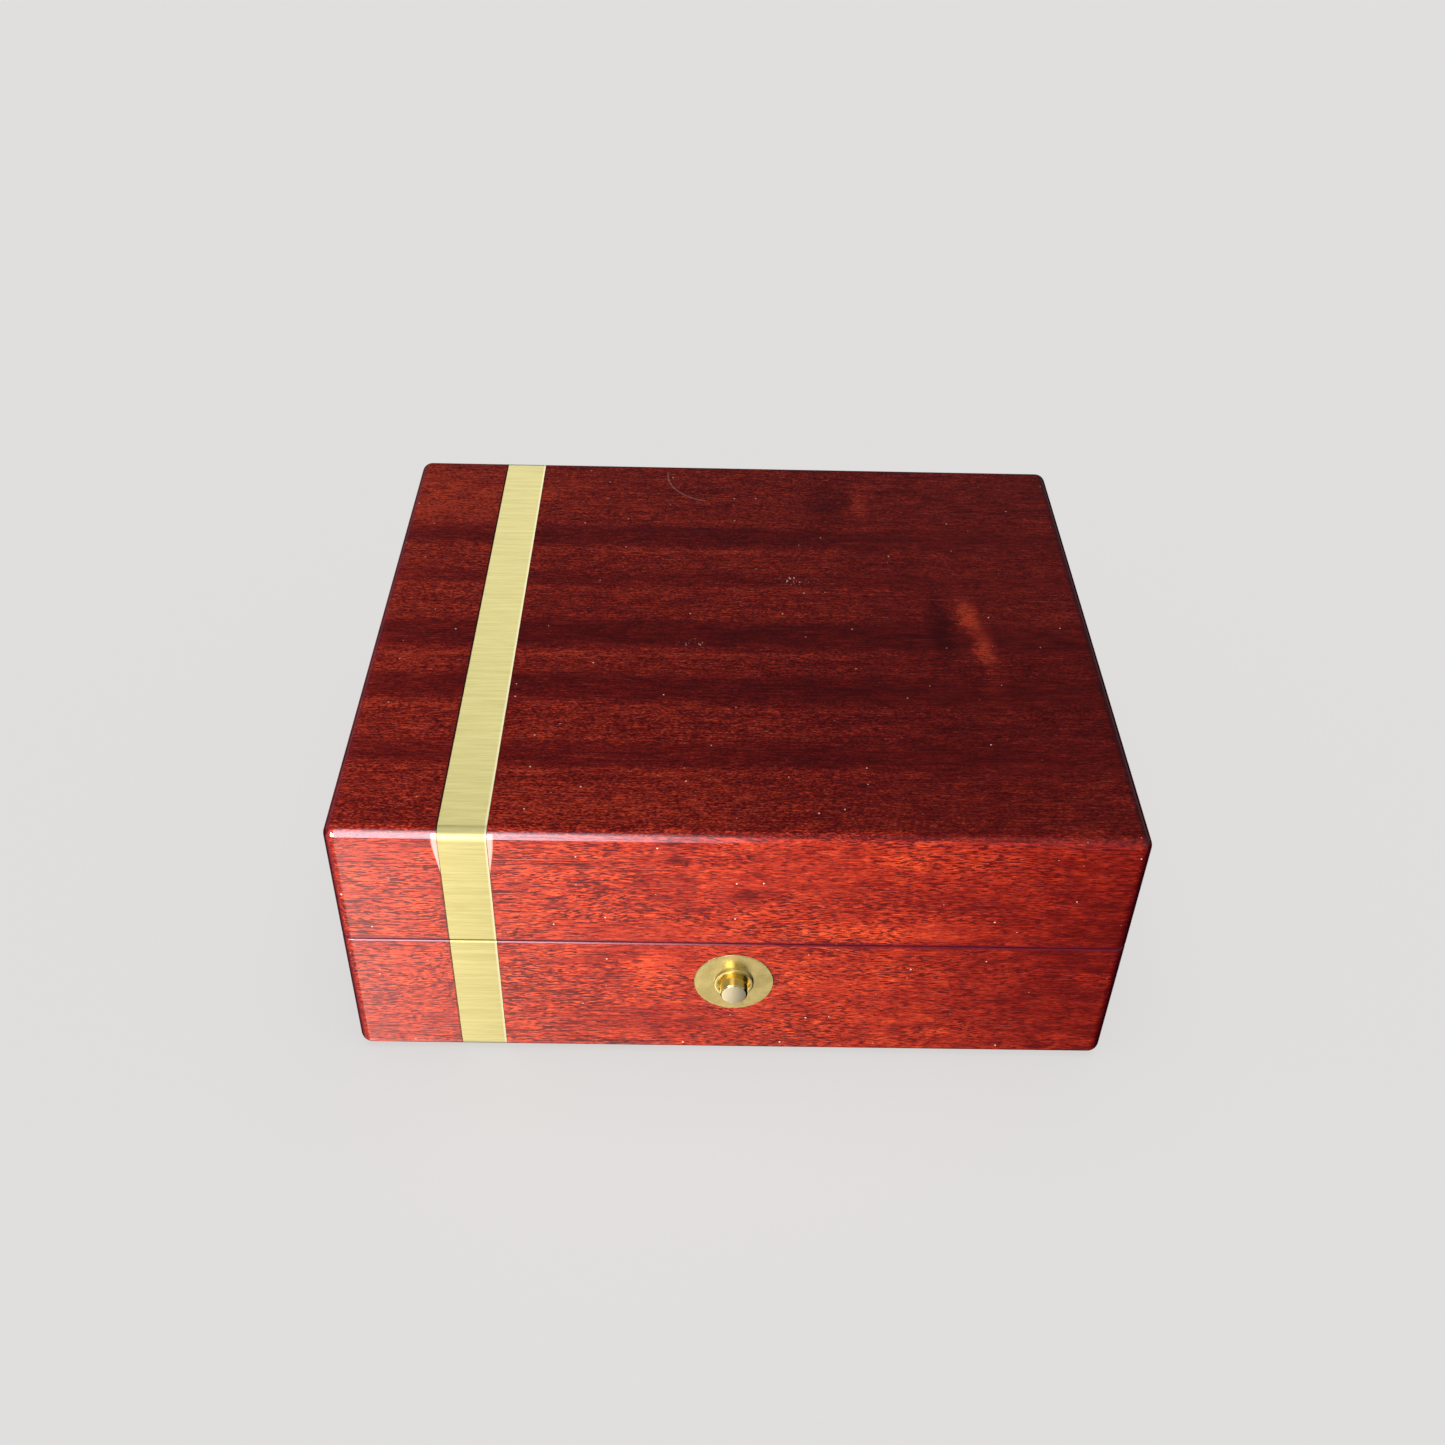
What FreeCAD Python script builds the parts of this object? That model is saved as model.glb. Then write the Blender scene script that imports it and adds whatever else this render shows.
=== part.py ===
# Lacquered mahogany box with a brass band let into its lid, front and back,
# a brass push-button catch in the front, two brass stop hinges at the back,
# and a padded, cloth-covered inside.
#
# Frame: origin on the surface the box stands on, under the middle of its footprint.
# +X to the right as seen from the front, +Y towards the hinges, +Z up. Millimetres.

import FreeCAD
import Part
import math
import os

from FreeCAD import Vector

# ---- the box
box_width = 200.0
box_depth = 172.0
box_height = 81.3           # the felt's thickness included
seam_height = 43.7          # middle of the gap between base and lid
seam_gap = 0.3
wall = 12.0
top_thickness = 10.0
floor_thickness = 6.0
floor_rebate = 6.0          # how far the floor panel is let into the walls
edge_radius = 3.2
rim_radius = 0.6            # fine rounding where lid and base meet
felt_thickness = 1.0
felt_inset = 7.0
felt_corner_radius = 3.0

# ---- the brass band
band_width = 11.8
band_from_side = 27.7       # from the left side of the box to the band
band_thickness = 1.0
band_gap = 0.12             # line of filler beside the band
band_under = 1.5            # how far the base band runs in under the bottom edge

# ---- lining and pads
lining_thickness = 2.5
lip_height = 4.0            # the base lining stands this far above the seam
lip_clearance = 0.5         # between the lip and the walls of the lid
lining_rounding_share = 0.42  # of the thickness, where the cloth goes over an edge
lid_lining_clearance = 1.2  # between the lip's top and the lid lining
floor_pad_thickness = 8.0
ceiling_pad_thickness = 7.0
pad_rounding_share = 0.38   # of the pad's thickness
pad_clearance = 0.3

# ---- the catch, along its own axis
button_below_seam = 14.3
button_radius = 3.5
button_proud = 4.5
button_head_depth = 1.0     # the head ends this far behind the front face
button_edge = 0.35
button_dome = 0.25
button_travel = 2.0
stem_radius = 1.2
running_clearance = 0.05
escutcheon_radius = 10.35
escutcheon_thickness = 1.4
escutcheon_proud = 0.2
escutcheon_edge = 0.15
bush_wall = 0.95
bush_flange = 0.65          # the lip stands this far outside the barrel
bush_lip = 0.7              # thickness of the lip in front of the escutcheon
bush_mouth = 0.75           # bevel inside the lip
bush_end_wall = 0.8
spring_wire = 0.4
spring_turns = 3.25
spring_points_per_turn = 12
spring_room = 3.8           # between the button head and the bush's end wall
spring_play = 0.25          # between the spring and the wall of the bush

# ---- the catch, in the thickness of the front wall
mortise_clearance = 0.15
case_front = 2.2            # depth of the case behind the front face
case_depth = 8.0
case_half_width = 8.0
case_sheet = 0.6
case_below_button = 6.5
plate_thickness = 1.2
plate_half_length = 16.0
plate_width = 9.0
hook_front = 1.2            # depth of the hook behind the case's front
hook_thickness = 1.0
hook_half_width = 3.2
hook_reach = 6.4            # below the base rim
barb_height = 1.7
barb_slope_share = 0.7      # of the barb's height is bevelled, to push the slide back
barb_length = 1.4
catch_play = 0.3
slot_play = 1.0             # at each end of the hook's slot
slide_sheet = 1.0
slide_play = 0.6            # between the slide and the case
tooth_height = 1.2
tooth_bite = 1.1            # how far tooth and barb overlap when shut

# ---- the hinges
hinge_beside_band = 3.5     # from the band to the nearer hinge; the other is its mirror image
hinge_length = 30.0
hinge_leaf_width = 9.0      # into the rim, from the back face
hinge_leaf_thickness = 1.6
hinge_axis_behind = 2.2     # hinge axis behind the back face
knuckle_radius = 2.4
knuckle_count = 5
knuckle_end_play = 0.12
stop_block_gap = 0.2        # between the stop block and the barrel
stop_block_wall = 1.6
lid_opening = 95.0          # degrees
stop_margin = 1.0           # degrees between full opening and metal on metal
hinge_pin_radius = 1.0
hinge_pin_clearance = 0.03
pin_head_step = 0.5         # the pin's head is this much less in radius than the knuckles
pin_head_length = 0.8
hinge_screw_margin = 4.5    # from the end of the leaf to the outer screws
hinge_screw_count = 3

# ---- wood screws
screw_head_radius = 2.0
screw_head_depth = 1.1
screw_shank_radius = 0.9
screw_length = 8.0
screw_slot_width = 0.5
screw_slot_depth = 0.45

# ---- places worked out from the sizes above
front_face = -box_depth / 2
back_face = box_depth / 2
base_bottom = felt_thickness
base_rim = seam_height - seam_gap / 2
lid_rim = seam_height + seam_gap / 2
floor_top = base_bottom + floor_thickness
ceiling = box_height - top_thickness
cavity_x = box_width / 2 - wall
cavity_y = box_depth / 2 - wall
lip_top = seam_height + lip_height
lip_thickness = lining_thickness - lip_clearance
band_left = -box_width / 2 + band_from_side
band_middle = band_left + band_width / 2
button_height = seam_height - button_below_seam
bush_bore = button_radius + running_clearance
bush_radius = bush_bore + bush_wall
bush_end = button_head_depth + spring_room
hook_depth = case_front + hook_front
hook_back_depth = hook_depth + hook_thickness
barb_end_depth = hook_back_depth + barb_length
slide_front_depth = barb_end_depth + catch_play
slide_back_depth = slide_front_depth + slide_sheet
barb_top = base_rim - hook_reach + barb_height
plate_middle_y = front_face + case_front + case_depth / 2
plate_straight = plate_half_length - plate_width / 2
hinge_axis_y = back_face + hinge_axis_behind
hinge_middle = -band_left - band_width - hinge_beside_band - hinge_length / 2
leaf_outer = knuckle_radius + stop_block_gap
stop_block_radius = leaf_outer + stop_block_wall
pin_head_radius = knuckle_radius - pin_head_step
spare = 5.0                 # cutting tools run this far past what they cut

AXIS_X = Vector(1, 0, 0)
AXIS_Y = Vector(0, 1, 0)
AXIS_Z = Vector(0, 0, 1)


def box_between(low, high):
    """A block from its lowest to its highest corner."""
    size = [b - a for a, b in zip(low, high)]
    return Part.makeBox(size[0], size[1], size[2], Vector(*low))


def prism(points, direction):
    """A closed outline of straight edges, extruded."""
    corners = [Vector(*p) for p in points]
    wire = Part.makePolygon(corners + corners[:1])
    return Part.Face(wire).extrude(direction)


def fuse(shapes):
    return shapes[0].fuse(shapes[1:]).removeSplitter()


def cut(shape, tools):
    for tool in tools:
        shape = shape.cut(tool)
    return shape


def edges_at_height(shape, z):
    """Edges that lie wholly in the level plane at z."""
    return [e for e in shape.Edges
            if abs(e.BoundBox.ZMin - z) < 1e-6 and abs(e.BoundBox.ZMax - z) < 1e-6]


def upright_edges(shape):
    return [e for e in shape.Edges
            if e.BoundBox.ZLength > 1e-6 and e.BoundBox.XLength < 1e-6 and e.BoundBox.YLength < 1e-6]


def rounded_block(low_z, high_z, soft_z, rim_z):
    """The outside of the base or lid: large roundings on all edges but those at the rim."""
    block = box_between((-box_width / 2, front_face, low_z), (box_width / 2, back_face, high_z))
    block = block.makeFillet(edge_radius, upright_edges(block) + edges_at_height(block, soft_z))
    return block.makeFillet(rim_radius, edges_at_height(block, rim_z))


def cavity(low_z, high_z):
    return box_between((-cavity_x, -cavity_y, low_z), (cavity_x, cavity_y, high_z))


def mitre_wedge(side, low_z, high_z):
    """The part of the plan that belongs to one of the four walls, cut at 45 degrees through the corners."""
    far_x, far_y = box_width / 2 + spare, box_depth / 2 + spare
    near_x, near_y = cavity_x - spare, cavity_y - spare
    outlines = {
        "front": [(-far_x, -far_y), (far_x, -far_y), (near_x, -near_y), (-near_x, -near_y)],
        "back": [(-far_x, far_y), (far_x, far_y), (near_x, near_y), (-near_x, near_y)],
        "left": [(-far_x, -far_y), (-far_x, far_y), (-near_x, near_y), (-near_x, -near_y)],
        "right": [(far_x, -far_y), (far_x, far_y), (near_x, near_y), (near_x, -near_y)],
    }
    points = [(x, y, low_z) for x, y in outlines[side]]
    return prism(points, AXIS_Z * (high_z - low_z))


def mitred_panel_space():
    """The top panel's space: it meets the walls on a 45 degree mitre that rises to the outer edge."""
    wires = []
    for inset, z in ((top_thickness, ceiling), (-spare, box_height + spare)):
        x, y = box_width / 2 - inset, box_depth / 2 - inset
        corners = [Vector(-x, -y, z), Vector(x, -y, z), Vector(x, y, z), Vector(-x, y, z)]
        wires.append(Part.makePolygon(corners + corners[:1]))
    return Part.makeLoft(wires, True, True)


def floor_panel():
    inset = wall - floor_rebate
    return box_between((-box_width / 2 + inset, front_face + inset, base_bottom),
                       (box_width / 2 - inset, back_face - inset, floor_top))


def band_ring(width, thickness):
    """A rectangular hoop with rounded corners round the whole section of the box."""
    left = band_middle - width / 2

    def section(inset):
        block = box_between((left, front_face + inset, base_bottom + inset),
                            (left + width, back_face - inset, box_height - inset))
        along = [e for e in block.Edges if e.BoundBox.XLength > width / 2]
        return block.makeFillet(edge_radius - inset, along)
    return section(0).cut(section(thickness))


def base_band_space(width):
    """Front and back stretches of the hoop below the seam, turned in under the bottom edge."""
    ring = band_ring(width, band_thickness)
    keep = edge_radius + band_under
    inner = box_between((-box_width, front_face + keep, 0), (box_width, back_face - keep, base_rim))
    return ring.cut(inner)


# ---- fasteners

def screw(x, y, z, up):
    """A countersunk wood screw whose head is flush at z and whose point goes up or down."""
    sign = 1.0 if up else -1.0
    axis = AXIS_Z * sign
    top = Vector(x, y, z)
    tip = screw_shank_radius * 1.5
    body = fuse([
        Part.makeCone(screw_head_radius, screw_shank_radius, screw_head_depth, top, axis),
        Part.makeCylinder(screw_shank_radius, screw_length - tip, top, axis),
        Part.makeCone(screw_shank_radius, screw_shank_radius / 4, tip,
                      top + axis * (screw_length - tip), axis),
    ])
    slot_low = min(z, z + sign * screw_slot_depth)
    slot = box_between((x - screw_slot_width / 2, y - spare, slot_low),
                       (x + screw_slot_width / 2, y + spare, slot_low + screw_slot_depth))
    return body, body.cut(slot)


def screws(places, z, up):
    """(the screws, the holes that they fill) at these places."""
    pairs = [screw(x, y, z, up) for x, y in places]
    return Part.makeCompound([s for _, s in pairs]), [hole for hole, _ in pairs]


def plate_screw_places():
    return [(-plate_straight, plate_middle_y), (plate_straight, plate_middle_y)]


def hinge_screw_places(side):
    """In a row along the middle of the leaf's flat."""
    first = side * hinge_middle - hinge_length / 2 + hinge_screw_margin
    step = (hinge_length - 2 * hinge_screw_margin) / (hinge_screw_count - 1)
    y = hinge_axis_y - (hinge_axis_behind + hinge_leaf_width + leaf_outer) / 2
    return [(first + i * step, y) for i in range(hinge_screw_count)]


# ---- the catch

def along_catch(radius, start, end):
    """A cylinder on the button's axis, between two depths behind the front face."""
    return Part.makeCylinder(radius, end - start, Vector(0, front_face + start, button_height), AXIS_Y)


def cone_along_catch(radius_start, radius_end, start, end):
    return Part.makeCone(radius_start, radius_end, end - start,
                         Vector(0, front_face + start, button_height), AXIS_Y)


def catch_block(half_width, depth_low, depth_high, z_low, z_high):
    return box_between((-half_width, front_face + depth_low, z_low),
                       (half_width, front_face + depth_high, z_high))


def escutcheon():
    disc = along_catch(escutcheon_radius, -escutcheon_proud, escutcheon_thickness - escutcheon_proud)
    rim = [e for e in disc.Edges if abs(e.BoundBox.YMax - (front_face - escutcheon_proud)) < 1e-6]
    disc = disc.makeChamfer(escutcheon_edge, rim)
    return disc.cut(along_catch(bush_radius, -spare, spare))


def bush():
    front = -escutcheon_proud - bush_lip
    lip = along_catch(bush_radius + bush_flange, front, -escutcheon_proud)
    face = [e for e in lip.Edges if abs(e.BoundBox.YMax - (front_face + front)) < 1e-6]
    lip = lip.makeFillet(bush_lip / 2, face)
    barrel = along_catch(bush_radius, -escutcheon_proud, bush_end + bush_end_wall)
    return cut(fuse([lip, barrel]), [
        along_catch(bush_bore, -spare, bush_end),
        along_catch(stem_radius + running_clearance, -spare, bush_end + spare),
        cone_along_catch(bush_bore + bush_mouth, bush_bore, front, front + bush_mouth),
    ])


def push_button():
    """Head with a shallow dome and a softened edge, on a stem that carries the latch slide."""
    front = -button_proud
    profile = [(0, front - button_dome), (button_radius - button_edge, front),
               (button_radius, front + button_edge), (button_radius, button_head_depth),
               (stem_radius, button_head_depth), (stem_radius, slide_back_depth), (0, slide_back_depth)]

    def at(radius, depth):
        return Vector(radius, front_face + depth, button_height)
    half_chord = (button_radius - button_edge) / 2
    middle = at(half_chord, front - button_dome * 0.75)
    dome = Part.Arc(at(*profile[0]), middle, at(*profile[1])).toShape()
    lines = [Part.LineSegment(at(*a), at(*b)).toShape() for a, b in zip(profile[1:], profile[2:])]
    lines.append(Part.LineSegment(at(*profile[-1]), at(*profile[0])).toShape())
    face = Part.Face(Part.Wire([dome] + lines))
    return face.revolve(Vector(0, 0, button_height), AXIS_Y, 360)


def button_spring():
    """A coil between the button's head and the end of the bush: a smooth curve through points on a helix."""
    coil_radius = bush_bore - spring_play - spring_wire / 2
    length = spring_room - spring_wire
    count = round(spring_turns * spring_points_per_turn)
    points = []
    for i in range(count + 1):
        angle = 2 * math.pi * spring_turns * i / count
        depth = button_head_depth + spring_wire / 2 + length * i / count
        points.append(Vector(coil_radius * math.cos(angle), front_face + depth,
                             button_height + coil_radius * math.sin(angle)))
    curve = Part.BSplineCurve()
    curve.interpolate(points)
    path = curve.toShape()
    section = Part.makeCircle(spring_wire / 2, points[0], path.tangentAt(path.FirstParameter))
    return Part.Wire([path]).makePipeShell([Part.Wire(section)], True, True)


def plate_outline(clearance, z_low, z_high):
    """A plate with round ends, centred on the case."""
    half = plate_width / 2 + clearance
    flat = box_between((-plate_straight, plate_middle_y - half, z_low),
                       (plate_straight, plate_middle_y + half, z_high))
    ends = [Part.makeCylinder(half, z_high - z_low, Vector(x, plate_middle_y, z_low), AXIS_Z)
            for x in (-plate_straight, plate_straight)]
    return fuse([flat] + ends)


def case_space(clearance):
    """The outside of the case below its plate."""
    return catch_block(case_half_width + clearance,
                       case_front - clearance, case_front + case_depth + clearance,
                       button_height - case_below_button - clearance, base_rim - plate_thickness)


def catch_case(screw_holes):
    outer = case_space(0)
    inner = catch_block(case_half_width - case_sheet, case_front + case_sheet,
                        case_front + case_depth - case_sheet,
                        button_height - case_below_button + case_sheet, base_rim - plate_thickness)
    slot = catch_block(hook_half_width + slot_play, case_front + case_sheet, slide_front_depth + catch_play,
                       base_rim - plate_thickness, base_rim)
    body = fuse([outer.cut(inner), plate_outline(0, base_rim - plate_thickness, base_rim)])
    return cut(body, [slot, along_catch(bush_radius, 0, case_front + case_sheet)] + screw_holes)


def latch_slide():
    """Upright plate on the button's stem, with the tooth that holds the hook's barb."""
    tooth_low = barb_top + catch_play
    web = catch_block(case_half_width - case_sheet - slide_play, slide_front_depth, slide_back_depth,
                      button_height - case_below_button + case_sheet + slide_play, tooth_low + tooth_height)
    tooth = catch_block(hook_half_width, barb_end_depth - tooth_bite, slide_front_depth,
                        tooth_low, tooth_low + tooth_height)
    return cut(fuse([web, tooth]), [along_catch(stem_radius, 0, slide_back_depth)])


def strike_hook(screw_holes):
    """Plate in the lid's rim with a barbed hook that hangs into the catch case."""
    plate = plate_outline(0, lid_rim, lid_rim + plate_thickness)
    tip = base_rim - hook_reach
    outline = [(hook_depth, lid_rim), (hook_depth, tip), (hook_back_depth, tip),
               (barb_end_depth, tip + barb_height * barb_slope_share), (barb_end_depth, barb_top),
               (hook_back_depth, barb_top), (hook_back_depth, lid_rim)]
    points = [(-hook_half_width, front_face + depth, z) for depth, z in outline]
    hook = prism(points, AXIS_X * (2 * hook_half_width))
    return cut(fuse([plate, hook]), screw_holes)


# ---- the hinges, built about their own axis, then moved into place

def hinge_sector(inner, outer, angle_low, angle_high, x_low, x_high):
    """Part of a ring about the hinge axis. Angles run from +Y, outwards, towards +Z."""
    ring = Part.makeCylinder(outer, x_high - x_low, Vector(x_low, 0, 0), AXIS_X)
    if inner > 0:
        ring = ring.cut(Part.makeCylinder(inner, x_high - x_low, Vector(x_low, 0, 0), AXIS_X))
    reach = 3 * outer
    steps = 4
    fan = [(x_low, 0, 0)]
    for i in range(steps + 1):
        angle = math.radians(angle_low + (angle_high - angle_low) * i / steps)
        fan.append((x_low, reach * math.cos(angle), reach * math.sin(angle)))
    return ring.common(prism(fan, AXIS_X * (x_high - x_low)))


def hinge_leaf(upper):
    """One leaf: plate in the rim, stop block round the outside of the barrel, and its own knuckles."""
    half = hinge_length / 2
    pitch = hinge_length / knuckle_count
    stop_angle = (lid_opening + stop_margin) / 2
    level = seam_gap / 2
    sides = (stop_angle, 180.0)
    plate = box_between((-half, -hinge_axis_behind - hinge_leaf_width, level),
                        (half, -leaf_outer, level + hinge_leaf_thickness))
    block = hinge_sector(leaf_outer, stop_block_radius, *sides, -half, half)
    block = block.cut(box_between((-half, -spare, -spare), (half, spare, level)))
    pieces = [plate, block]
    for k in range(knuckle_count):
        own = (k % 2 == 1) if upper else (k % 2 == 0)
        if own:
            low = -half + k * pitch + (knuckle_end_play / 2 if k else 0)
            high = -half + (k + 1) * pitch - (knuckle_end_play / 2 if k < knuckle_count - 1 else 0)
            web = hinge_sector(0, leaf_outer, *sides, low, high)
            web = web.cut(box_between((-half, -spare, -spare), (half, spare, level)))
            pieces += [web, Part.makeCylinder(knuckle_radius, high - low, Vector(low, 0, 0), AXIS_X)]
    leaf = fuse(pieces)
    bore_radius = hinge_pin_radius + hinge_pin_clearance
    leaf = leaf.cut(Part.makeCylinder(bore_radius, hinge_length, Vector(-half, 0, 0), AXIS_X))
    if not upper:
        leaf = leaf.mirror(Vector(0, 0, 0), AXIS_Z)
    return leaf


def hinge_pin():
    half = hinge_length / 2 + knuckle_end_play / 2
    shaft = Part.makeCylinder(hinge_pin_radius, 2 * half, Vector(-half, 0, 0), AXIS_X)
    heads = []
    for side in (-1, 1):
        head = Part.makeCylinder(pin_head_radius, pin_head_length, Vector(side * half, 0, 0), AXIS_X * side)
        rim = [e for e in head.Edges
               if e.BoundBox.XLength < 1e-6 and abs(abs(e.BoundBox.XMin) - half - pin_head_length) < 1e-6]
        heads.append(head.makeFillet(pin_head_length * 0.6, rim))
    return fuse([shaft] + heads)


def hinge_mortise(upper):
    """Wood that the leaf and the barrel take away from one rim."""
    half = hinge_length / 2 + mortise_clearance
    low = -spare if upper else -hinge_leaf_thickness - seam_gap / 2 - mortise_clearance
    high = hinge_leaf_thickness + seam_gap / 2 + mortise_clearance if upper else spare
    flat = box_between((-half, -hinge_axis_behind - hinge_leaf_width - mortise_clearance, low),
                       (half, spare, high))
    end = half + pin_head_length + 2 * mortise_clearance
    cove = Part.makeCylinder(stop_block_radius + mortise_clearance, 2 * half, Vector(-half, 0, 0), AXIS_X)
    head_radius = pin_head_radius + 2 * mortise_clearance
    head_cove = Part.makeCylinder(head_radius, 2 * end, Vector(-end, 0, 0), AXIS_X)
    return fuse([flat, cove, head_cove])


def at_hinge(shape, side):
    moved = shape.copy()
    moved.translate(Vector(side * hinge_middle, hinge_axis_y, seam_height))
    return moved


# ---- lining and pads

def lining_strip(side, gap, low_z, high_z):
    """A strip along one wall, a gap away from it. The side strips stand between the front and back ones."""
    t = lining_thickness
    if side in ("front", "back"):
        strip = box_between((-cavity_x + gap, -cavity_y + gap, low_z),
                            (cavity_x - gap, -cavity_y + t, high_z))
    else:
        strip = box_between((-cavity_x + gap, -cavity_y + t, low_z),
                            (-cavity_x + t, cavity_y - t, high_z))
    if side == "back":
        strip = strip.mirror(Vector(0, 0, 0), AXIS_Y)
    if side == "right":
        strip = strip.mirror(Vector(0, 0, 0), AXIS_X)
    return strip


def round_edge(strip, z, thickness):
    """Rounds the two long edges that the cloth is wrapped over."""
    long = [e for e in edges_at_height(strip, z) if e.Length > 2 * thickness]
    return strip.makeFillet(thickness * lining_rounding_share, long)


def base_lining(side):
    """It stands above the rim as a lip that fits inside the lid."""
    lip = lining_strip(side, lip_clearance, base_rim, lip_top)
    return fuse([lining_strip(side, 0, floor_top, base_rim), round_edge(lip, lip_top, lip_thickness)])


def lid_lining(side):
    low_z = lip_top + lid_lining_clearance
    return round_edge(lining_strip(side, 0, low_z, ceiling), low_z, lining_thickness)


def pad(low_z, high_z, soft_z):
    x = cavity_x - lining_thickness - pad_clearance
    y = cavity_y - lining_thickness - pad_clearance
    block = box_between((-x, -y, low_z), (x, y, high_z))
    return block.makeFillet((high_z - low_z) * pad_rounding_share, edges_at_height(block, soft_z))


def underside_felt():
    sheet = box_between((-box_width / 2 + felt_inset, front_face + felt_inset, 0),
                        (box_width / 2 - felt_inset, back_face - felt_inset, felt_thickness))
    return sheet.makeFillet(felt_corner_radius, upright_edges(sheet))


# ---- putting it together

SIDES = ("front", "back", "left", "right")


def base_parts():
    nodes = {}
    block = rounded_block(base_bottom, base_rim, base_bottom, base_rim)
    shell = cut(block, [cavity(base_bottom, base_rim + spare), floor_panel(),
                        base_band_space(band_width + 2 * band_gap)])
    plate_screws, plate_holes = screws(plate_screw_places(), base_rim, up=False)
    hinge_screw_sets = [screws(hinge_screw_places(side), base_rim, up=False) for side in (-1, 1)]
    recess = along_catch(escutcheon_radius, -spare, escutcheon_thickness - escutcheon_proud)
    bush_hole = along_catch(bush_radius + mortise_clearance, 0, case_front + case_sheet)
    plate_recess = plate_outline(mortise_clearance, base_rim - plate_thickness, base_rim + spare)
    fittings = {
        "front": [recess, bush_hole, case_space(mortise_clearance), plate_recess] + plate_holes,
        "back": [at_hinge(hinge_mortise(False), side) for side in (-1, 1)]
                + [hole for _, holes in hinge_screw_sets for hole in holes],
        "left": [],
        "right": [],
    }
    for side in SIDES:
        board = shell.common(mitre_wedge(side, 0, base_rim + spare))
        nodes[f"base_{side}_board"] = cut(board, fittings[side])
        nodes[f"base_lining_{side}"] = base_lining(side)
    nodes["base_floor_panel"] = floor_panel()
    band = base_band_space(band_width).common(block)
    for solid in band.Solids:
        where = "front" if solid.CenterOfMass.y < 0 else "back"
        nodes[f"base_band_{where}"] = solid
    nodes["underside_felt"] = underside_felt()
    nodes["floor_pad"] = pad(floor_top, floor_top + floor_pad_thickness, floor_top + floor_pad_thickness)
    nodes["catch_escutcheon"] = escutcheon()
    nodes["catch_bush"] = bush()
    nodes["catch_case"] = catch_case(plate_holes)
    nodes["catch_case_screws"] = plate_screws
    nodes["button_spring"] = button_spring()
    leaf = hinge_leaf(upper=False)
    for side, name, (_, holes) in zip((-1, 1), ("left", "right"), hinge_screw_sets):
        nodes[f"hinge_{name}_base_leaf"] = cut(at_hinge(leaf, side), holes)
        nodes[f"hinge_{name}_pin"] = at_hinge(hinge_pin(), side)
    nodes["hinge_base_screws"] = Part.makeCompound([s for made, _ in hinge_screw_sets for s in made.Solids])
    return nodes


def lid_parts():
    nodes = {}
    block = rounded_block(lid_rim, box_height, box_height, lid_rim)
    panel_space = mitred_panel_space()
    groove = band_ring(band_width + 2 * band_gap, band_thickness)
    shell = cut(block, [cavity(lid_rim - spare, ceiling), panel_space, groove])
    plate_screws, plate_holes = screws(plate_screw_places(), lid_rim, up=True)
    hinge_screw_sets = [screws(hinge_screw_places(side), lid_rim, up=True) for side in (-1, 1)]
    plate_recess = plate_outline(mortise_clearance, lid_rim - spare, lid_rim + plate_thickness)
    fittings = {
        "front": [plate_recess] + plate_holes,
        "back": [at_hinge(hinge_mortise(True), side) for side in (-1, 1)]
                + [hole for _, holes in hinge_screw_sets for hole in holes],
        "left": [],
        "right": [],
    }
    for side in SIDES:
        board = shell.common(mitre_wedge(side, lid_rim - spare, box_height + spare))
        nodes[f"lid_{side}_board"] = cut(board, fittings[side])
        nodes[f"lid_lining_{side}"] = lid_lining(side)
    nodes["lid_top_panel"] = block.common(panel_space).cut(groove)
    nodes["lid_band"] = band_ring(band_width, band_thickness).common(block)
    nodes["ceiling_pad"] = pad(ceiling - ceiling_pad_thickness, ceiling, ceiling - ceiling_pad_thickness)
    nodes["strike_hook"] = strike_hook(plate_holes)
    nodes["strike_screws"] = plate_screws
    leaf = hinge_leaf(upper=True)
    for side, name, (_, holes) in zip((-1, 1), ("left", "right"), hinge_screw_sets):
        nodes[f"hinge_{name}_lid_leaf"] = cut(at_hinge(leaf, side), holes)
    nodes["hinge_lid_screws"] = Part.makeCompound([s for made, _ in hinge_screw_sets for s in made.Solids])
    return nodes


def button_parts():
    return {"push_button": push_button(), "latch_slide": latch_slide()}


def main():
    os.makedirs("parts", exist_ok=True)
    nodes = {**base_parts(), **lid_parts(), **button_parts()}
    for name, shape in nodes.items():
        valid = shape.isValid() and all(s.isClosed() for s in shape.Shells)
        print(f"{name}: {len(shape.Solids)} solid(s), {shape.Volume:.1f} mm3", "" if valid else "NOT VALID")
        shape.exportStep(f"parts/{name}.step")
    print(len(nodes), "nodes")


main()
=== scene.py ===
import math

import bmesh
import bpy
import numpy as np
from mathutils import Matrix, Vector
from mathutils.bvhtree import BVHTree


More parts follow.
